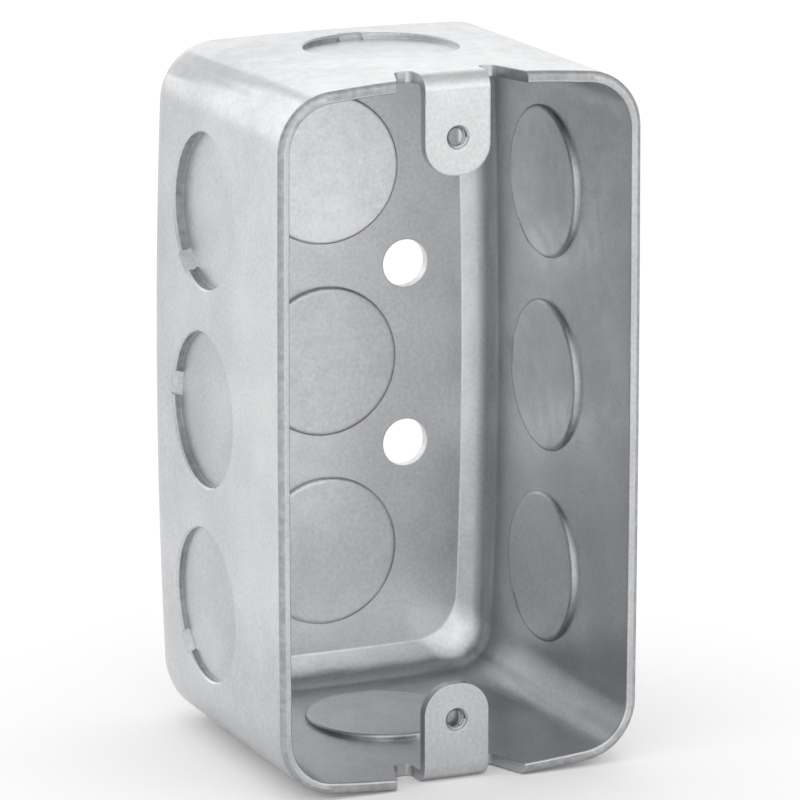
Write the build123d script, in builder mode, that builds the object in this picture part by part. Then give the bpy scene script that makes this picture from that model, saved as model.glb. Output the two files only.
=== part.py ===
from build123d import *
import math
import os

# Steel utility box, drawn from one sheet. Millimetres, seen as it stands in use:
# +Z up its length, its opening towards -Y. The origin is on the front of the ears,
# midway between the two cover screws.

# Body, measured at the rim
width = 54.9
height = 101.4
depth = 50.6
sheet = 1.6
corner_radius = 8.4
rim_outer_round = 0.7
rim_inner_round = 0.3

# The walls bow outward between the corners: the ends most at the rim, the sides most
# at the back. Towards the back the sides also spread and the ends draw in.
rim_end_bow = 1.9
rim_side_bow = 0.2
back_end_bow = 0.4
back_side_bow = 1.4
side_spread = 0.25
end_taper = 0.85

# A narrow bevel joins the flat back to the bend of the walls.
bevel_angle = 30.0
bevel_inset = 4.0
wall_bend = 4.2
bevel_bend = 0.8
panel_corner_radius = 7.0

# Round edges and bends are drawn in narrow flats, each turning by no more than this.
widest_flat = 22.5

# Knockouts: discs punched inward by part of the sheet and held by a sloping tie.
# The discs in the left wall, from the top, are punched to uneven depths.
knockout_diameter = 22.2
knockout_pitch = 28.6
knockout_from_back = 22.5
knockout_push = 0.9
left_pushes = (1.5, 1.2, 0.9)
knockout_edge = 0.3
tie_width = 3.6
tie_run = 1.6

# Where each side wall's tie points, in degrees up from the back, top disc first.
side_tie_angles = (-50.0, 8.0, -42.0)

# Two holes in the back for fastening the box up, in line beside its middle.
fixing_diameter = 7.1
fixing_spacing = 27.0
fixing_offset = 12.9

# Ears for the cover's screws, turned down from the end walls between two notches.
ear_width = 9.8
ear_setback = 1.6
ear_bend = 0.8
ear_reach = 5.3
ear_end_radius = 4.4
ear_screw_spacing = 83.34
ear_hole_diameter = 2.85
ear_sink_diameter = 3.5
ear_sink_angle = 90.0
notch_width = 15.0
notch_mouth = 19.8
notch_depth = 6.6
notch_radius = 1.0

# Sizes that follow from the ones above
half_width = width / 2
half_height = height / 2
half_spacing = ear_screw_spacing / 2
knockout_radius = knockout_diameter / 2
rim_y = -ear_setback
back_y = depth - ear_setback
bevel_thinning = sheet * math.tan(math.radians(bevel_angle / 2))
ear_outer_bend = ear_bend + sheet
strip_height = half_height - end_taper * (ear_outer_bend - rim_y) / depth
tie_outer = knockout_radius + tie_run / 2
tie_inner = knockout_radius - tie_run / 2
notch_lean = math.degrees(math.atan2(2 * notch_depth, notch_mouth - notch_width))
back_plane = Plane(origin=(0, back_y, 0), x_dir=(-1, 0, 0), z_dir=(0, 1, 0))
ear_plane = Plane(origin=(0, 0, 0), x_dir=(1, 0, 0), z_dir=(0, -1, 0))

# The ears follow the end walls' bow, so what cuts through one runs past its far side.
ear_cut = 2 * sheet

# How near to a place a face or an edge must lie to be picked by it
near = 0.01

# Half the width and height of the walls' outside, with the bows of sides and ends
rim_form = (half_width, half_height, rim_side_bow, rim_end_bow)
back_form = (half_width + side_spread, half_height - end_taper, back_side_bow, back_end_bow)


def outline(y, inset, corner):
    """Draw the box's cross-section at y, inset from its outside."""
    share = (y - rim_y) / depth
    side, end, side_bow, end_bow = (
        at_rim + share * (at_back - at_rim) for at_rim, at_back in zip(rim_form, back_form)
    )
    x = side - side_bow
    z = end - end_bow
    with BuildSketch(ear_plane.offset(-y)) as section:
        with BuildLine():
            ThreePointArc((-x, -z), (-side, 0), (-x, z))
            ThreePointArc((-x, z), (0, end), (x, z))
            ThreePointArc((x, z), (side, 0), (x, -z))
            ThreePointArc((x, -z), (0, -end), (-x, -z))
        make_face()
        if inset > 0:
            offset(amount=-inset, kind=Kind.INTERSECTION, mode=Mode.REPLACE)
        fillet(section.vertices(), radius=corner)
    return section.sketch


def turns(first, last):
    """Share a bend that turns from first to last, in degrees, into even flats."""
    count = math.ceil((last - first) / widest_flat)
    return [math.radians(first + (last - first) * step / count) for step in range(count + 1)]


def pressing(inset, rim_round, bend, flat_bend, bevel, panel_corner):
    """Make the solid that fills the box out to one face of its sheet.

    A positive rim_round turns inward from that face, and a negative one outward.
    """
    floor_y = back_y - inset
    bend_turn = 90 - bevel_angle
    bend_reach = bend * math.tan(math.radians(bend_turn / 2))
    bend_y = floor_y - bevel * math.tan(math.radians(bevel_angle)) - bend_reach
    flat_y = floor_y - flat_bend
    flat_inset = bevel + flat_bend * math.tan(math.radians(bevel_angle / 2))
    wall_corner = corner_radius - inset
    sections = []
    for turn in turns(0, 90):
        y = rim_y + abs(rim_round) * (1 - math.cos(turn))
        rim_inset = inset + rim_round * (1 - math.sin(turn))
        sections.append(outline(y, rim_inset, corner_radius - rim_inset))
    bends = []
    for turn in turns(0, bend_turn):
        bends.append((bend_y + bend * math.sin(turn), bend * (1 - math.cos(turn))))
    for turn in turns(bend_turn, 90):
        bends.append((flat_y + flat_bend * math.sin(turn), flat_inset - flat_bend * math.cos(turn)))
    for y, further in bends:
        corner = wall_corner + (panel_corner - wall_corner) * further / flat_inset
        sections.append(outline(y, inset + further, corner))
    with BuildPart() as form:
        loft(sections=sections, ruled=True)
    return form.part


def pocket(push):
    """Make the hole that a punch leaves: local +Z points out of the wall, the tie is on +X."""
    with BuildPart() as hole:
        with BuildSketch(Plane.XY.offset(-push)):
            Circle(knockout_radius)
        extrude(amount=push + sheet)
        with BuildSketch(Plane.XY.offset(-knockout_edge)):
            Circle(knockout_radius)
        extrude(amount=2 * knockout_edge, taper=-45)
        with BuildSketch(Plane.XY.offset(-push - sheet)):
            with Locations((knockout_radius, 0)):
                Rectangle(tie_run, tie_width)
        extrude(amount=push + 2 * sheet)
    return hole.part


def slug(push):
    """Make the disc that goes back, lower by the push, with the sheet that holds it."""
    with BuildPart() as disc:
        with BuildSketch(Plane.XY.offset(-push)):
            Circle(knockout_radius)
        extrude(amount=-sheet)
        chamfer(disc.edges().sort_by(Axis.Z)[0], length=knockout_edge)
        with BuildSketch(Plane.XY.offset(-push)):
            with Locations((knockout_radius, 0)):
                Rectangle(tie_run, tie_width)
        extrude(amount=-sheet, mode=Mode.SUBTRACT)
        with BuildSketch(Plane.XZ):
            with BuildLine():
                Polyline(
                    (tie_outer, 0),
                    (tie_inner, -push),
                    (tie_inner, -push - sheet),
                    (tie_outer, -sheet),
                    close=True,
                )
            make_face()
        extrude(amount=tie_width / 2, both=True)
    return disc.part


outside = pressing(
    0,
    rim_outer_round,
    wall_bend + sheet,
    bevel_bend + sheet,
    bevel_inset + sheet - bevel_thinning,
    panel_corner_radius + bevel_thinning,
)
inside = pressing(
    sheet, -rim_inner_round, wall_bend, bevel_bend, bevel_inset, panel_corner_radius
)


def punch_plane(y, z, outward, tie_way):
    """Find where a punch meets the wall: its origin on the outside, its x towards the tie."""
    aim = Axis((0, y, z), outward)
    place, normal = outside.find_intersection_points(aim)[-1]
    return Plane(origin=place, x_dir=tie_way, z_dir=normal)


# One plane and one push for each disc
knockout_y = back_y - knockout_from_back
rows = (knockout_pitch, 0, -knockout_pitch)
right_pushes = (knockout_push,) * len(rows)
knockouts = []
for side, pushes in ((-1, left_pushes), (1, right_pushes)):
    for z, push, angle in zip(rows, pushes, side_tie_angles):
        lean = math.radians(angle)
        tie_way = (0, math.cos(lean), math.sin(lean))
        knockouts.append((punch_plane(knockout_y, z, (side, 0, 0), tie_way), push))
for end in (-1, 1):
    knockouts.append((punch_plane(knockout_y, 0, (0, 0, end), (0, 1, 0)), knockout_push))
for z in rows:
    knockouts.append((back_plane.shift_origin((0, back_y, z)), knockout_push))

with BuildPart() as handy_box:
    add(outside)
    add(inside, mode=Mode.SUBTRACT)

    # Notches in both ends, which leave a strip of the wall as far as the ear's bend
    with BuildSketch(Plane.XY) as notches:
        with Locations((0, rim_y)):
            Trapezoid(2 * notch_mouth - notch_width, 2 * notch_depth, notch_lean)
        with Locations((0, ear_outer_bend + notch_depth / 2)):
            Rectangle(ear_width, notch_depth, mode=Mode.SUBTRACT)
        fillet(notches.vertices().group_by(Axis.Y)[-1], notch_radius)
    extrude(amount=height, both=True, mode=Mode.SUBTRACT)

    # The strip turns through a right angle and runs on as the ear.
    strip_ends = handy_box.faces().filter_by_position(
        Axis.Y, ear_outer_bend - near, ear_outer_bend + near
    )
    strip_ends = strip_ends.sort_by(Axis.Z)
    for end, strip_end in ((-1, strip_ends[0]), (1, strip_ends[-1])):
        bend_z = end * (strip_height - ear_outer_bend)
        bend_axis = Axis((0, ear_outer_bend, bend_z), (end, 0, 0))
        revolve(strip_end, axis=bend_axis, revolution_arc=90)
        root = handy_box.faces().filter_by_position(Axis.Z, bend_z - near, bend_z + near)
        extrude(root.sort_by(Axis.Y)[0], amount=abs(bend_z) - half_spacing + ear_reach)
        ear_end = end * (half_spacing - ear_reach)
        corners = handy_box.edges().filter_by_position(Axis.Z, ear_end - near, ear_end + near)
        fillet(corners.filter_by(Axis.Y), radius=ear_end_radius)

    # Screw holes in the ears
    with Locations(ear_plane):
        with GridLocations(0, ear_screw_spacing, 1, 2):
            CounterSinkHole(ear_hole_diameter / 2, ear_sink_diameter / 2, ear_cut, ear_sink_angle)

    # Fastening holes through the back
    with BuildSketch(back_plane):
        with Locations((-fixing_offset, 0)):
            with GridLocations(0, fixing_spacing, 1, 2):
                Circle(fixing_diameter / 2)
    extrude(amount=-sheet, mode=Mode.SUBTRACT)

    for plane, push in knockouts:
        with Locations(plane):
            add(pocket(push), mode=Mode.SUBTRACT)
            add(slug(push))

handy_box.part.label = "handy_box"
os.makedirs("parts", exist_ok=True)
export_step(handy_box.part, "parts/handy_box.step")
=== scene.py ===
"""A drawn utility box of galvanised steel, dressed and lit for its photograph.

Lengths are in metres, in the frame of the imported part: +Z up the box, its opening towards -Y, the
origin on the front of its ears. The names of sizes in millimetres end in _mm.
"""

import logging
import math
from dataclasses import dataclass
from enum import Enum

import bpy
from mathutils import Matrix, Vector


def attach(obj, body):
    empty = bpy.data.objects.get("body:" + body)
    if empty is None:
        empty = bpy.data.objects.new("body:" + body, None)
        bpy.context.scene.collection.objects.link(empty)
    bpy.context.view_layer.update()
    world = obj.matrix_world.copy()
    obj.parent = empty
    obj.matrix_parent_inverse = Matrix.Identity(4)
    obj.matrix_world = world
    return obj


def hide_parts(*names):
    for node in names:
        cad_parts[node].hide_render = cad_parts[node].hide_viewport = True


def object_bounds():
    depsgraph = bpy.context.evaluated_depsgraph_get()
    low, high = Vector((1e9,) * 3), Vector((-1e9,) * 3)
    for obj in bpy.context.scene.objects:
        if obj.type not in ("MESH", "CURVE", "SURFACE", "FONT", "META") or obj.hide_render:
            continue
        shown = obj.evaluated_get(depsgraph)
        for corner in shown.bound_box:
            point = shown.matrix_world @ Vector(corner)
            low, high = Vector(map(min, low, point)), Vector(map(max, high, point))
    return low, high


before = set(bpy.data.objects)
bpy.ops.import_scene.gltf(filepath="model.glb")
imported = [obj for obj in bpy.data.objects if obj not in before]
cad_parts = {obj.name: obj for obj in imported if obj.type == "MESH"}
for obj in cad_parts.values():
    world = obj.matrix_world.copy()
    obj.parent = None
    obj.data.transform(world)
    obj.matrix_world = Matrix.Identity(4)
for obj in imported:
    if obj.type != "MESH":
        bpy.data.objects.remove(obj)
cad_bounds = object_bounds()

log = logging.getLogger("handy_box")

MILLIMETRE = 0.001
NODE = "handy_box"
BODY = "root"

# A Mix node's sockets for its two values and its result, when it mixes colours and numbers
FIRST_COLOUR, LAST_COLOUR, MIXED_COLOUR = 6, 7, 2
FIRST_NUMBER, LAST_NUMBER, MIXED_NUMBER = 2, 3, 0

# How many rays the rounding of an edge takes
EDGE_SAMPLES = 6

Inputs = dict[str | int, object]


def linear_colour(code: str) -> tuple[float, float, float, float]:
    """Turn an sRGB hex colour into the linear colour that a shader takes.

    Args:
        code: Six hex digits, such as "c9ccd0".

    Returns:
        Linear red, green and blue from 0 to 1, and an alpha of 1.
    """
    channels = []
    for start in (0, 2, 4):
        value = int(code[start : start + 2], 16) / 255
        low = value <= 0.04045
        channels.append(value / 12.92 if low else ((value + 0.055) / 1.055) ** 2.4)
    return (channels[0], channels[1], channels[2], 1.0)


def grain(size_mm: float) -> float:
    """Give the texture scale at which a pattern's patches are size_mm across."""
    return 1 / (size_mm * MILLIMETRE)


def new_material(name: str) -> bpy.types.Material:
    """Start a material with an empty node tree."""
    material = bpy.data.materials.new(name)
    material.use_nodes = True
    material.node_tree.nodes.clear()
    return material


def add_node(
    tree: bpy.types.NodeTree, kind: str, inputs: Inputs | None = None, **settings: object
) -> bpy.types.Node:
    """Add one shader node with its settings and inputs.

    Args:
        tree: The node tree that it goes into.
        kind: Blender's name of the node's type.
        inputs: By socket name or number, a value to set or an output socket to link.
        settings: The node's own properties.

    Returns:
        The new node.
    """
    node = tree.nodes.new(kind)
    for name, value in settings.items():
        setattr(node, name, value)
    for name, value in (inputs or {}).items():
        if isinstance(value, bpy.types.NodeSocket):
            tree.links.new(value, node.inputs[name])
        else:
            node.inputs[name].default_value = value
    return node


class Axis(Enum):
    """The place of an axis in a vector."""

    X = 0
    Y = 1
    Z = 2


@dataclass(frozen=True)
class Mottle:
    """A soft noise: how large its patches are, and how many finer ones lie in them."""

    size_mm: float
    detail: float


@dataclass(frozen=True)
class Ramp:
    """An even change from the first value to the last, level before its start and after its end."""

    start: float
    end: float
    first: float
    last: float

    def over(self, value: bpy.types.NodeSocket) -> Inputs:
        """Give the inputs of a range node that makes this change over a value."""
        return {
            "Value": value,
            "From Min": self.start,
            "From Max": self.end,
            "To Min": self.first,
            "To Max": self.last,
        }


@dataclass(frozen=True)
class GalvanisedSteel:
    """Hot-dip galvanised sheet steel, drawn in a press.

    The zinc gives a pale, nearly neutral grey with a satin gloss, and a fine mottling where the
    tools pressed it. Around the corners the press left soft streaks along the draw. The specks are
    drawn coarser than life, so that they show.
    """

    name: str = "galvanised_steel_drawn"
    light: str = "dcddde"
    dark: str = "c2c3c5"
    burnt: str = "a3a4a6"
    cloud: Mottle = Mottle(14.0, 2.0)
    patch: Mottle = Mottle(2.2, 3.0)
    speck: Mottle = Mottle(0.55, 2.0)
    wave: Mottle = Mottle(20.0, 0.0)
    streak: Mottle = Mottle(3.4, 1.0)
    streak_length_mm: float = 60.0
    wave_height_mm: float = 0.20
    streak_height_mm: float = 0.12
    patch_height_mm: float = 0.008
    speck_height_mm: float = 0.008
    edge_round_mm: float = 0.22
    tone: Ramp = Ramp(0.75, 1.25, 0.15, 0.85)
    burnish: Ramp = Ramp(0.48, 0.62, 0.0, 0.7)
    roughness: Ramp = Ramp(0.3, 0.7, 0.30, 0.40)
    # Painted light and shade by place: ramps over height, over facing out or in, and over depth
    # from the rim
    painted_light_by_height: Ramp = Ramp(-0.045, -0.010, -0.3, 0.3)
    painted_light_by_facing: Ramp = Ramp(-0.005, 0.005, -0.3, 0.3)
    painted_light_by_depth: Ramp = Ramp(0.0, 0.045, 1.0, -1.0)
    corner_sideward: Ramp = Ramp(0.014, 0.024, 0.0, 1.0)
    corner_endward: Ramp = Ramp(0.036, 0.046, 0.0, 1.0)

    def make(self) -> bpy.types.Material:
        """Build the material.

        Returns:
            The new material.
        """
        material = new_material(self.name)
        tree = material.node_tree
        place = add_node(tree, "ShaderNodeTexCoord").outputs["Object"]
        clouds, patches, specks, waves = (
            add_node(
                tree,
                "ShaderNodeTexNoise",
                {"Vector": place, "Scale": grain(mottle.size_mm), "Detail": mottle.detail},
            ).outputs[0]
            for mottle in (self.cloud, self.patch, self.speck, self.wave)
        )
        streaks = self.draw_streaks(tree, place)
        reliefs = (
            (waves, self.wave_height_mm),
            (streaks, self.streak_height_mm),
            (patches, self.patch_height_mm),
            (specks, self.speck_height_mm),
        )
        roughness = add_node(tree, "ShaderNodeMapRange", self.roughness.over(patches))
        shader = add_node(
            tree,
            "ShaderNodeBsdfPrincipled",
            {
                "Base Color": self.colour(tree, place, clouds, specks, streaks),
                "Metallic": 1.0,
                "Roughness": roughness.outputs[0],
                "Normal": self.relief(tree, reliefs),
            },
        )
        add_node(tree, "ShaderNodeOutputMaterial", {"Surface": shader.outputs[0]})
        return material

    def colour(
        self,
        tree: bpy.types.NodeTree,
        place: bpy.types.NodeSocket,
        clouds: bpy.types.NodeSocket,
        specks: bpy.types.NodeSocket,
        streaks: bpy.types.NodeSocket,
    ) -> bpy.types.NodeSocket:
        """Mix the zinc's greys, with painted light and shade by place.

        Args:
            tree: The material's node tree.
            place: The point's place on the box.
            clouds: The broad mottling, from 0 to 1.
            specks: The fine mottling, from 0 to 1.
            streaks: The press's streaks, from 0 to 1.

        Returns:
            The colour.
        """
        mottling = add_node(
            tree, "ShaderNodeMath", {0: clouds, 1: specks}, operation="ADD"
        ).outputs[0]
        tone = add_node(tree, "ShaderNodeMapRange", self.tone.over(mottling)).outputs[0]
        # Painted light and shade by place, added to the zinc's tone
        tone = add_node(
            tree,
            "ShaderNodeMath",
            {0: tone, 1: self.painted_light_and_shade(tree, place)},
            operation="ADD",
            use_clamp=True,
        ).outputs[0]
        zinc = add_node(
            tree,
            "ShaderNodeMix",
            {
                "Factor": tone,
                FIRST_COLOUR: linear_colour(self.dark),
                LAST_COLOUR: linear_colour(self.light),
            },
            data_type="RGBA",
        ).outputs[MIXED_COLOUR]
        burnish = add_node(tree, "ShaderNodeMapRange", self.burnish.over(streaks)).outputs[0]
        return add_node(
            tree,
            "ShaderNodeMix",
            {"Factor": burnish, FIRST_COLOUR: zinc, LAST_COLOUR: linear_colour(self.burnt)},
            data_type="RGBA",
        ).outputs[MIXED_COLOUR]

    def relief(
        self,
        tree: bpy.types.NodeTree,
        reliefs: tuple[tuple[bpy.types.NodeSocket, float], ...],
    ) -> bpy.types.NodeSocket:
        """Round the edges and raise the patterns on them, one on top of the other.

        Args:
            tree: The material's node tree.
            reliefs: Each pattern, from 0 to 1, with its height in millimetres.

        Returns:
            The surface's normal.
        """
        normal = add_node(
            tree,
            "ShaderNodeBevel",
            {"Radius": self.edge_round_mm * MILLIMETRE},
            samples=EDGE_SAMPLES,
        ).outputs[0]
        for pattern, height_mm in reliefs:
            normal = add_node(
                tree,
                "ShaderNodeBump",
                {"Height": pattern, "Distance": height_mm * MILLIMETRE, "Normal": normal},
            ).outputs[0]
        return normal

    def painted_light_and_shade(
        self, tree: bpy.types.NodeTree, place: bpy.types.NodeSocket
    ) -> bpy.types.NodeSocket:
        """Paint light and shade into the zinc by place: lighter outside by the rim, inside by the
        back.

        On the outside the painted light fades towards the bottom.

        Args:
            tree: The material's node tree.
            place: The point's place on the box.

        Returns:
            How much painted light or shade the zinc gets there, either way from 0.
        """
        normal = add_node(tree, "ShaderNodeTexCoord").outputs["Normal"]
        sideways = add_node(
            tree, "ShaderNodeVectorMath", {0: place, 1: (1.0, 0.0, 1.0)}, operation="MULTIPLY"
        ).outputs[0]
        facing = add_node(
            tree, "ShaderNodeVectorMath", {0: sideways, 1: normal}, operation="DOT_PRODUCT"
        ).outputs["Value"]
        parts = add_node(tree, "ShaderNodeSeparateXYZ", {0: place}).outputs
        outside = add_node(tree, "ShaderNodeMapRange", self.painted_light_by_height.over(parts["Z"]))
        side = add_node(
            tree,
            "ShaderNodeMapRange",
            {**self.painted_light_by_facing.over(facing), "To Max": outside.outputs[0]},
        )
        by_rim = add_node(tree, "ShaderNodeMapRange", self.painted_light_by_depth.over(parts["Y"]))
        return add_node(
            tree, "ShaderNodeMath", {0: side.outputs[0], 1: by_rim.outputs[0]}, operation="MULTIPLY"
        ).outputs[0]

    def draw_streaks(
        self, tree: bpy.types.NodeTree, place: bpy.types.NodeSocket
    ) -> bpy.types.NodeSocket:
        """Draw the press's streaks, which run along the draw and show at the box's corners.

        Args:
            tree: The material's node tree.
            place: The point's place on the box.

        Returns:
            The streaks' height from 0 to 1, flat away from the corners.
        """
        squeeze = self.streak.size_mm / self.streak_length_mm
        drawn = add_node(
            tree, "ShaderNodeMapping", {"Vector": place, "Scale": (1.0, squeeze, 1.0)}
        ).outputs[0]
        lines = add_node(
            tree,
            "ShaderNodeTexNoise",
            {"Vector": drawn, "Scale": grain(self.streak.size_mm), "Detail": self.streak.detail},
        ).outputs[0]
        parts = add_node(tree, "ShaderNodeSeparateXYZ", {0: place}).outputs
        corner = lines
        for part, ramp in (("X", self.corner_sideward), ("Z", self.corner_endward)):
            away = add_node(tree, "ShaderNodeMath", {0: parts[part]}, operation="ABSOLUTE")
            near = add_node(tree, "ShaderNodeMapRange", ramp.over(away.outputs[0]))
            corner = add_node(
                tree, "ShaderNodeMath", {0: corner, 1: near.outputs[0]}, operation="MULTIPLY"
            ).outputs[0]
        return corner


@dataclass(frozen=True)
class ShearedSteelAndShade:
    """The bare edge that a punch leaves in zinc-coated sheet: duller and darker than the zinc, and
    also painted shade on the rim's outer round and around the knockouts.

    Short marks run through the sheet's thickness, drawn coarser than life so that they show.
    """

    name: str = "sheared_edge_and_painted_shade"
    light: str = "b6b7b9"
    dark: str = "a2a3a5"
    roughness: float = 0.42
    mark: Mottle = Mottle(1.1, 2.0)
    mark_height_mm: float = 0.012
    edge_round_mm: float = 0.25
    tone: Ramp = Ramp(0.35, 0.65, 0.0, 1.0)

    def make(self) -> bpy.types.Material:
        """Build the material.

        Returns:
            The new material.
        """
        material = new_material(self.name)
        tree = material.node_tree
        place = add_node(tree, "ShaderNodeTexCoord").outputs["Object"]
        marks = add_node(
            tree,
            "ShaderNodeTexNoise",
            {"Vector": place, "Scale": grain(self.mark.size_mm), "Detail": self.mark.detail},
        ).outputs[0]
        tone = add_node(tree, "ShaderNodeMapRange", self.tone.over(marks))
        colour = add_node(
            tree,
            "ShaderNodeMix",
            {
                "Factor": tone.outputs[0],
                FIRST_COLOUR: linear_colour(self.dark),
                LAST_COLOUR: linear_colour(self.light),
            },
            data_type="RGBA",
        )
        rounding = add_node(
            tree,
            "ShaderNodeBevel",
            {"Radius": self.edge_round_mm * MILLIMETRE},
            samples=EDGE_SAMPLES,
        )
        normal = add_node(
            tree,
            "ShaderNodeBump",
            {
                "Height": marks,
                "Distance": self.mark_height_mm * MILLIMETRE,
                "Normal": rounding.outputs[0],
            },
        )
        shader = add_node(
            tree,
            "ShaderNodeBsdfPrincipled",
            {
                "Base Color": colour.outputs[MIXED_COLOUR],
                "Metallic": 1.0,
                "Roughness": self.roughness,
                "Normal": normal.outputs[0],
            },
        )
        add_node(tree, "ShaderNodeOutputMaterial", {"Surface": shader.outputs[0]})
        return material


@dataclass(frozen=True)
class PaleFloor:
    """A matt white paper floor under the box, which keeps its soft shadow."""

    name: str = "white_paper_floor"
    colour: str = "ffffff"
    roughness: float = 0.9
    lift: float = 0.08
    half_size: float = 6.0

    def build(self, level: float) -> bpy.types.Object:
        """Lay the floor.

        Args:
            level: Its height.

        Returns:
            The floor's object.
        """
        bpy.ops.object.select_all(action="DESELECT")
        bpy.ops.mesh.primitive_plane_add(size=2 * self.half_size, location=(0, 0, level))
        floor = bpy.context.object
        floor.name = self.name
        bpy.ops.object.transform_apply(location=True, rotation=True, scale=True)
        floor.data.materials.append(self.make())
        return floor

    def make(self) -> bpy.types.Material:
        """Build the paper's material, lifted to white where the camera sees it.

        Returns:
            The new material.
        """
        material = new_material(self.name)
        tree = material.node_tree
        seen = add_node(tree, "ShaderNodeLightPath").outputs["Is Camera Ray"]
        lift = add_node(tree, "ShaderNodeMath", {0: seen, 1: self.lift}, operation="MULTIPLY")
        shader = add_node(
            tree,
            "ShaderNodeBsdfPrincipled",
            {
                "Base Color": linear_colour(self.colour),
                "Roughness": self.roughness,
                "Emission Color": linear_colour(self.colour),
                "Emission Strength": lift.outputs[0],
            },
        )
        add_node(tree, "ShaderNodeOutputMaterial", {"Surface": shader.outputs[0]})
        return material


@dataclass(frozen=True)
class Softbox:
    """A soft rectangular lamp that points at the box."""

    name: str
    place: tuple[float, float, float]
    width: float
    height: float
    watts: float

    def build(self, target: Vector) -> bpy.types.Object:
        """Hang the lamp.

        Args:
            target: The point that it faces.

        Returns:
            The lamp's object.
        """
        data = bpy.data.lights.new(self.name, "AREA")
        data.shape = "RECTANGLE"
        data.size = self.width
        data.size_y = self.height
        data.energy = self.watts
        lamp = bpy.data.objects.new(self.name, data)
        bpy.context.scene.collection.objects.link(lamp)
        lamp.location = self.place
        lamp.rotation_euler = (target - Vector(self.place)).to_track_quat("-Z", "Y").to_euler()
        return lamp


class Side(Enum):
    """A side of the white room, by the direction towards it."""

    LEFT = (-1.0, 0.0, 0.0)
    RIGHT = (1.0, 0.0, 0.0)
    FRONT = (0.0, -1.0, 0.0)
    BEHIND = (0.0, 1.0, 0.0)
    BELOW = (0.0, 0.0, -1.0)
    ABOVE = (0.0, 0.0, 1.0)
    CAMERA = (-0.391, -0.890, 0.235)


@dataclass(frozen=True)
class Glow:
    """How bright a side of the room looks in the metal, where 1 is white, and how it fades."""

    side: Side
    brightness: float
    sharpness: float = 2.0


@dataclass(frozen=True)
class WhiteRoom:
    """The room as the metal mirrors it, a little darker where the camera stands."""

    glows: tuple[Glow, ...] = (
        Glow(Side.LEFT, 0.75),
        Glow(Side.RIGHT, 0.60),
        Glow(Side.FRONT, 1.62),
        Glow(Side.BEHIND, 1.52),
        Glow(Side.BELOW, 1.0),
        Glow(Side.ABOVE, 0.55),
        Glow(Side.CAMERA, -0.1, 8.0),
    )

    def build(self, tree: bpy.types.NodeTree) -> bpy.types.NodeSocket:
        """Draw the glow by direction, with a soft change from each side to the next.

        Args:
            tree: The world's node tree.

        Returns:
            The glow towards each direction.
        """
        direction = add_node(tree, "ShaderNodeTexCoord").outputs["Generated"]
        total: object = 0.0
        for glow in self.glows:
            facing = add_node(
                tree,
                "ShaderNodeVectorMath",
                {0: direction, 1: glow.side.value},
                operation="DOT_PRODUCT",
            ).outputs["Value"]
            for limit, step in ((0.0, "MAXIMUM"), (glow.sharpness, "POWER")):
                facing = add_node(
                    tree, "ShaderNodeMath", {0: facing, 1: limit}, operation=step
                ).outputs[0]
            total = add_node(
                tree,
                "ShaderNodeMath",
                {0: facing, 1: glow.brightness, 2: total},
                operation="MULTIPLY_ADD",
            ).outputs[0]
        return total


@dataclass(frozen=True)
class Studio:
    """The white room with its floor, its lamp and its even background."""

    floor: PaleFloor = PaleFloor()
    room: WhiteRoom = WhiteRoom()
    fill: float = 0.92
    background: str = "ffffff"
    lamp: Softbox = Softbox("overhead_softbox", (-0.10, -0.15, 1.0), 0.8, 0.8, 0.8)

    def build(self, floor_level: float, target: Vector) -> None:
        """Set up the floor, the lamp and the world.

        Args:
            floor_level: The height of the floor.
            target: The point that the lamp faces.
        """
        floor = self.floor.build(floor_level)
        log.info("floor %s", floor.name)
        lamp = self.lamp.build(target)
        log.info("lamp %s", lamp.name)
        self.build_world()

    def build_world(self) -> None:
        """Make the background white where it is seen, and softer where it only lights."""
        world = bpy.data.worlds.new("white_room")
        bpy.context.scene.world = world
        world.use_nodes = True
        tree = world.node_tree
        tree.nodes.clear()
        rays = add_node(tree, "ShaderNodeLightPath").outputs
        unseen = add_node(
            tree,
            "ShaderNodeMix",
            {
                "Factor": rays["Is Glossy Ray"],
                FIRST_NUMBER: self.fill,
                LAST_NUMBER: self.room.build(tree),
            },
        ).outputs[MIXED_NUMBER]
        seen = add_node(
            tree,
            "ShaderNodeMath",
            {0: rays["Is Camera Ray"], 1: rays["Is Transmission Ray"]},
            operation="MAXIMUM",
        ).outputs[0]
        strength = add_node(
            tree, "ShaderNodeMix", {"Factor": seen, FIRST_NUMBER: unseen, LAST_NUMBER: 1.0}
        ).outputs[MIXED_NUMBER]
        shader = add_node(
            tree,
            "ShaderNodeBackground",
            {"Color": linear_colour(self.background), "Strength": strength},
        )
        add_node(tree, "ShaderNodeOutputWorld", {"Surface": shader.outputs[0]})


@dataclass(frozen=True)
class PhotoCamera:
    """The photograph's camera, worked out from the box's outline in it."""

    name: str = "photo_camera"
    azimuth: float = -23.72
    elevation: float = 13.59
    distance: float = 0.818
    target: tuple[float, float, float] = (-0.00945, -0.0016, 0.00588)
    lens_mm: float = 267.0
    sensor_mm: float = 36.0

    def build(self) -> bpy.types.Object:
        """Set up the camera and make it the scene's own.

        Returns:
            The camera's object.
        """
        turn = math.radians(self.azimuth)
        rise = math.radians(self.elevation)
        back = Vector(
            (math.sin(turn) * math.cos(rise), -math.cos(turn) * math.cos(rise), math.sin(rise))
        )
        data = bpy.data.cameras.new(self.name)
        data.lens = self.lens_mm
        data.sensor_width = self.sensor_mm
        camera = bpy.data.objects.new(self.name, data)
        bpy.context.scene.collection.objects.link(camera)
        camera.location = Vector(self.target) + back * self.distance
        camera.rotation_euler = (-back).to_track_quat("-Z", "Y").to_euler()
        bpy.context.scene.camera = camera
        return camera


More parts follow.
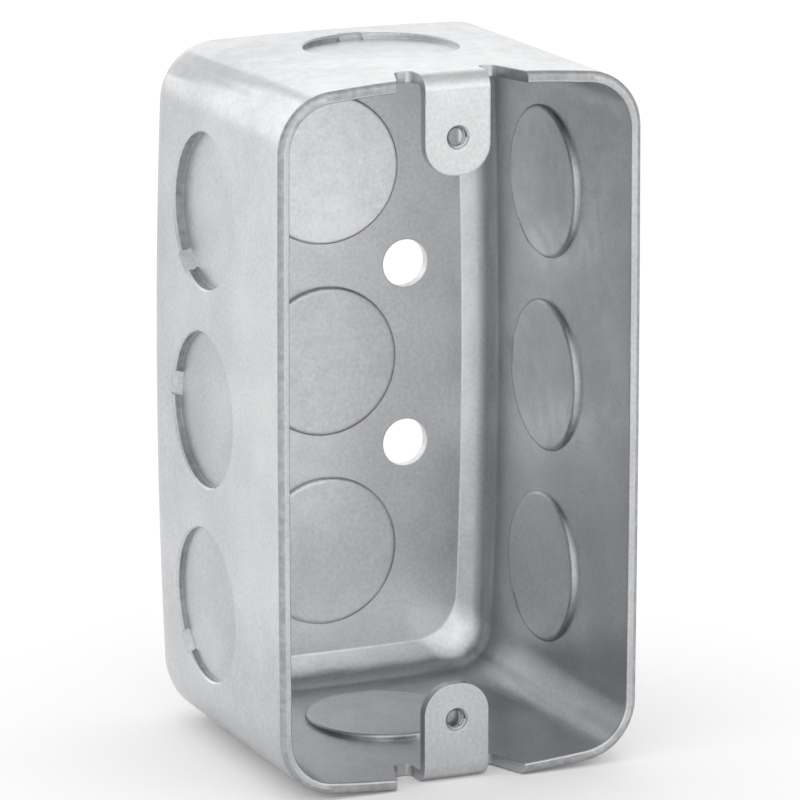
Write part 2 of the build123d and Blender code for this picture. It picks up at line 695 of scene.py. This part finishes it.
class Finish(Enum):
    """The finishes of the box's faces, in the order of its materials."""

    ZINC = GalvanisedSteel()
    # The bare sheared edge, partly its own darker colour and partly painted shade on the rim's
    # outer round and around the knockouts
    SHEARED = ShearedSteelAndShade()
    # A darker copy of the zinc, as painted shade on the rim's flat at the sides, in the ears' screw
    # holes and threads, and on the outside of the lower left discs
    UNRUBBED = GalvanisedSteel("galvanised_steel_painted_shade", light="d4d5d6", dark="b8b9bb")
    SOFT_EDGED = GalvanisedSteel("galvanised_steel_soft_edge", edge_round_mm=0.8)
    # A lighter copy of the zinc, as painted light on the upper ear and on the tipped upper disc in
    # the back
    BRIGHT = GalvanisedSteel(
        "galvanised_steel_painted_light", light="e8e9ea", dark="cccdce", edge_round_mm=0.5
    )

    @property
    def slot(self) -> int:
        """Give the finish's place among the box's materials."""
        return list(Finish).index(self)


@dataclass(frozen=True)
class Punch:
    """A punch's line through the box, along an axis, by where it leaves the wall's outside.

    One line serves a knockout and the one that may lie opposite. The wall leans there by lean, as a
    slope, and a disc's two faces lie within the levels, measured out of the wall.
    """

    axis: Axis
    middle_mm: tuple[float, float, float]
    lean: float = 0.0
    reach_mm: float = 11.25
    ring_mm: tuple[float, float] = (11.03, 11.17)
    levels_mm: tuple[tuple[float, float], ...] = ((-1.2, -0.6), (-3.0, -1.75))

    def way_mm(self, point: Vector) -> Vector:
        """Give the way from the line's middle to a point, in millimetres."""
        return point / MILLIMETRE - Vector(self.middle_mm)

    def radius_mm(self, point: Vector) -> float:
        """Give how far a point lies from the line, in millimetres."""
        way = self.way_mm(point)
        way[self.axis.value] = 0.0
        return way.length

    def covers(self, points: list[Vector]) -> bool:
        """Tell whether all the points lie within the disc's edge, seen along the line."""
        return all(self.radius_mm(point) < self.reach_mm for point in points)

    def rings(self, points: list[Vector]) -> bool:
        """Tell whether all the points lie on the round edge that the punch left."""
        inner, outer = self.ring_mm
        return all(inner < self.radius_mm(point) < outer for point in points)

    def moves(self, point: Vector) -> bool:
        """Tell whether a point belongs to either face of the disc."""
        way = self.way_mm(point)
        level = way[self.axis.value] + self.lean * way.z
        return self.covers([point]) and any(low < level < high for low, high in self.levels_mm)


@dataclass(frozen=True)
class DrawnBox:
    """The box itself, one drawn sheet, whose bends are smoothed for the eye."""

    name: str = "drawn_box"
    weld_mm: float = 0.001
    smooth_under: float = 34.0
    side_punches: tuple[Punch, ...] = (
        Punch(Axis.X, (27.30, 26.5, 28.6), 0.02),
        Punch(Axis.X, (27.59, 26.5, 0.0)),
        Punch(Axis.X, (27.30, 26.5, -28.6), -0.02),
    )
    back_punches: tuple[Punch, ...] = (
        Punch(Axis.Y, (0.0, 49.0, 28.6)),
        Punch(Axis.Y, (0.0, 49.0, 0.0)),
        Punch(Axis.Y, (0.0, 49.0, -28.6)),
    )
    end_punch: Punch = Punch(Axis.Z, (0.0, 26.5, 50.6))
    ease_mm: float = 0.25
    tip: float = 0.07
    left_outside_mm: float = -25.2
    right_inside_mm: float = 26.1
    walls_from_mm: tuple[float, float, float] = (20.0, 44.0, 40.0)
    inward: float = 0.3
    rim_mm: float = 0.75
    rim_half_end_mm: float = 20.0
    flat: float = 0.995
    screw_z_mm: float = 41.67
    sink_radius_mm: float = 1.8
    sink_depth_mm: float = 3.6
    ear_mm: tuple[float, float, float] = (5.0, 1.7, 48.4)

    def build(self) -> bpy.types.Object:
        """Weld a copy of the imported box, smooth it and dress it in its finishes.

        Returns:
            The box's object.
        """
        box = bpy.data.objects.new(self.name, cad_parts[NODE].data.copy())
        bpy.context.scene.collection.objects.link(box)
        self.weld(box)
        self.ease_discs(box)
        self.tip_disc(box)
        self.smooth(box)
        self.dress(box)
        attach(box, BODY)
        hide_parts(NODE)
        return box

    def weld(self, box: bpy.types.Object) -> None:
        """Join the copy's loose triangles.

        Args:
            box: The copy's object.
        """
        bpy.ops.object.select_all(action="DESELECT")
        box.select_set(True)
        bpy.context.view_layer.objects.active = box
        bpy.ops.object.mode_set(mode="EDIT")
        bpy.ops.mesh.select_all(action="SELECT")
        bpy.ops.mesh.remove_doubles(threshold=self.weld_mm * MILLIMETRE)
        bpy.ops.object.mode_set(mode="OBJECT")
        if box.data.has_custom_normals:
            bpy.ops.mesh.customdata_custom_splitnormals_clear()

    def ease_discs(self, box: bpy.types.Object) -> None:
        """Draw the right wall's discs back a little towards the wall, as shallow as they look.

        Args:
            box: The welded copy.
        """
        for punch in self.side_punches:
            for vertex in box.data.vertices:
                if punch.moves(vertex.co):
                    vertex.co.x += self.ease_mm * MILLIMETRE

    def tip_disc(self, box: bpy.types.Object) -> None:
        """Tip the upper disc in the back, whose right edge stands further out than its left.

        Args:
            box: The welded copy.
        """
        for vertex in box.data.vertices:
            if self.back_punches[0].moves(vertex.co):
                vertex.co.y -= self.tip * vertex.co.x

    def smooth(self, box: bpy.types.Object) -> None:
        """Shade the bends as smooth and the flats between them as flat.

        Args:
            box: The welded copy.
        """
        bpy.ops.object.shade_smooth_by_angle(angle=math.radians(self.smooth_under))
        bpy.ops.object.modifier_add(type="WEIGHTED_NORMAL")
        box.modifiers[-1].keep_sharp = True
        bpy.ops.object.modifier_apply(modifier=box.modifiers[-1].name)

    def dress(self, box: bpy.types.Object) -> None:
        """Make the finishes and give each face its own.

        Args:
            box: The welded copy.
        """
        box.data.materials.clear()
        for finish in Finish:
            box.data.materials.append(finish.value.make())
        for face in box.data.polygons:
            points = [box.data.vertices[index].co for index in face.vertices]
            face.material_index = self.finish(face, points).slot

    def finish(self, face: bpy.types.MeshPolygon, points: list[Vector]) -> Finish:
        """Choose a face's finish, among them the lighter and darker copies of the zinc that paint
        light and shade.

        Args:
            face: The face.
            points: Its corners.

        Returns:
            Its finish.
        """
        if self.in_rim(face, points):
            flat = face.normal.y < -self.flat
            at_side = abs(face.center.x) > self.rim_half_end_mm * MILLIMETRE
            # The rim's flat at the sides gets the darker copy of the zinc, as painted shade; the
            # rest of the rim gets the sheared edge, partly painted shade
            return Finish.UNRUBBED if flat and at_side else Finish.SHEARED
        # The knockouts' punched rings get the sheared edge, partly as painted shade around the
        # discs
        if self.in_punched_ring(points):
            return Finish.SHEARED
        # The screw holes and the outside of the lower left discs get the darker copy of the zinc,
        # as painted shade
        if self.in_screw_hole(points) or self.on_lower_left_disc(points):
            return Finish.UNRUBBED
        if self.inside_disc(face, points):
            # The tipped upper disc in the back gets the lighter copy of the zinc, as painted light
            tipped = self.back_punches[0].covers(points)
            return Finish.BRIGHT if tipped else Finish.SOFT_EDGED
        # The upper ear gets the lighter copy of the zinc, as painted light
        return Finish.BRIGHT if self.on_upper_ear(points) else Finish.ZINC

    def in_rim(self, face: bpy.types.MeshPolygon, points: list[Vector]) -> bool:
        """Tell whether a face lies on the rim's flat or on the round of its outer edge.

        Args:
            face: The face.
            points: Its corners.

        Returns:
            Whether it is near the front and faces there or outward.
        """
        rim = cad_bounds[0][Axis.Y.value] + self.rim_mm * MILLIMETRE
        outward = face.normal.x * face.center.x + face.normal.z * face.center.z > 0
        return all(p.y < rim for p in points) and (face.normal.y < -self.flat or outward)

    def in_punched_ring(self, points: list[Vector]) -> bool:
        """Tell whether a face lies on the round edge that a knockout's punch left.

        Args:
            points: The face's corners.

        Returns:
            Whether it does, but not where the right wall's discs stand out inside the box.
        """
        if all(0 < p.x < self.right_inside_mm * MILLIMETRE for p in points):
            return False
        punches = (*self.side_punches, *self.back_punches, self.end_punch)
        return any(punch.rings(points) for punch in punches)

    def inside_disc(self, face: bpy.types.MeshPolygon, points: list[Vector]) -> bool:
        """Tell whether a face is one that a disc turns to the inside of the box.

        Args:
            face: The face.
            points: Its corners.

        Returns:
            Whether it faces inward within a disc's edge.
        """
        for punch in (*self.side_punches, *self.back_punches, self.end_punch):
            axis = punch.axis.value
            away, facing = face.center[axis], face.normal[axis]
            in_wall = abs(away) > self.walls_from_mm[axis] * MILLIMETRE
            if in_wall and facing * away < -self.inward * abs(away) and punch.covers(points):
                return True
        return False

    def in_screw_hole(self, points: list[Vector]) -> bool:
        """Tell whether a face, given by its corners, lies in the hole of an ear or in its sink."""
        screw, radius, depth = (
            size * MILLIMETRE for size in (self.screw_z_mm, self.sink_radius_mm, self.sink_depth_mm)
        )
        return all(math.hypot(p.x, abs(p.z) - screw) < radius and p.y < depth for p in points)

    def on_upper_ear(self, points: list[Vector]) -> bool:
        """Tell whether a face, given by its corners, lies on the upper ear below its bend."""
        across, forward, upward = (size * MILLIMETRE for size in self.ear_mm)
        return all(abs(p.x) < across and p.y < forward and 0 < p.z < upward for p in points)

    def on_lower_left_disc(self, points: list[Vector]) -> bool:
        """Tell whether a face, given by its corners, is on the outside of a lower left disc."""
        outside = all(p.x < self.left_outside_mm * MILLIMETRE for p in points)
        return outside and any(punch.covers(points) for punch in self.side_punches[1:])


@dataclass(frozen=True)
class TappedThread:
    """The thread in an ear's screw hole: one ridge wound through the sheet."""

    name: str
    middle_mm: tuple[float, float, float]
    finish: bpy.types.Material
    root_radius_mm: float = 1.50
    crest_radius_mm: float = 1.16
    pitch_mm: float = 0.79
    half_root: float = 0.42
    start_mm: float = 0.34
    turns: float = 1.15
    steps: int = 37
    smooth_under: float = 40.0

    def build(self) -> bpy.types.Object:
        """Wind the ridge's profile about the hole and close it.

        Returns:
            The thread's object.
        """
        bpy.ops.object.select_all(action="DESELECT")
        bpy.ops.mesh.primitive_circle_add(vertices=3, radius=MILLIMETRE, fill_type="NOTHING")
        thread = bpy.context.object
        thread.name = self.name
        half = self.pitch_mm * self.half_root
        profile = (
            (self.crest_radius_mm, 0.0),
            (self.root_radius_mm, half),
            (self.root_radius_mm, -half),
        )
        for vertex, (radius, along) in zip(thread.data.vertices, profile):
            vertex.co = Vector((radius, 0.0, along)) * MILLIMETRE
        self.wind(thread)
        thread.rotation_euler = (-math.pi / 2, 0.0, 0.0)
        thread.location = Vector(self.middle_mm) * MILLIMETRE
        thread.location.y += self.start_mm * MILLIMETRE
        bpy.ops.object.transform_apply(location=True, rotation=True, scale=True)
        bpy.ops.object.shade_smooth_by_angle(angle=math.radians(self.smooth_under))
        thread.data.materials.append(self.finish)
        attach(thread, BODY)
        return thread

    def wind(self, thread: bpy.types.Object) -> None:
        """Wind the profile along the hole and close both ends of the ridge.

        Args:
            thread: The object that holds the profile.
        """
        bpy.ops.object.modifier_add(type="SCREW")
        screw = thread.modifiers[-1]
        screw.angle = math.tau * self.turns
        screw.screw_offset = self.pitch_mm * self.turns * MILLIMETRE
        screw.steps = self.steps
        screw.render_steps = self.steps
        screw.use_normal_calculate = True
        bpy.ops.object.modifier_apply(modifier=screw.name)
        bpy.ops.object.mode_set(mode="EDIT")
        bpy.ops.mesh.select_all(action="DESELECT")
        bpy.ops.mesh.select_non_manifold()
        bpy.ops.mesh.edge_face_add()
        bpy.ops.mesh.select_all(action="SELECT")
        bpy.ops.mesh.normals_make_consistent(inside=False)
        bpy.ops.object.mode_set(mode="OBJECT")


def main() -> None:
    """Build the box, its studio and its camera in order, and note the sizes."""
    logging.basicConfig(level=logging.INFO, format="%(name)s: %(message)s")
    box = DrawnBox().build()
    log.info("piece %s, %d triangles", box.name, len(box.data.polygons))
    # The threads get the darker copy of the zinc, as painted shade
    zinc = box.data.materials[Finish.UNRUBBED.slot]
    for name, end in (("upper_thread", 1), ("lower_thread", -1)):
        thread = TappedThread(name, (0.0, 0.0, end * DrawnBox.screw_z_mm), zinc).build()
        log.info("piece %s, %d faces", thread.name, len(thread.data.polygons))
    low, high = cad_bounds
    Studio().build(low[Axis.Z.value], (low + high) / 2)
    camera = PhotoCamera().build()
    log.info("camera %s", camera.name)
    bpy.context.scene.view_settings.view_transform = "Standard"


if __name__ == "__main__":
    main()
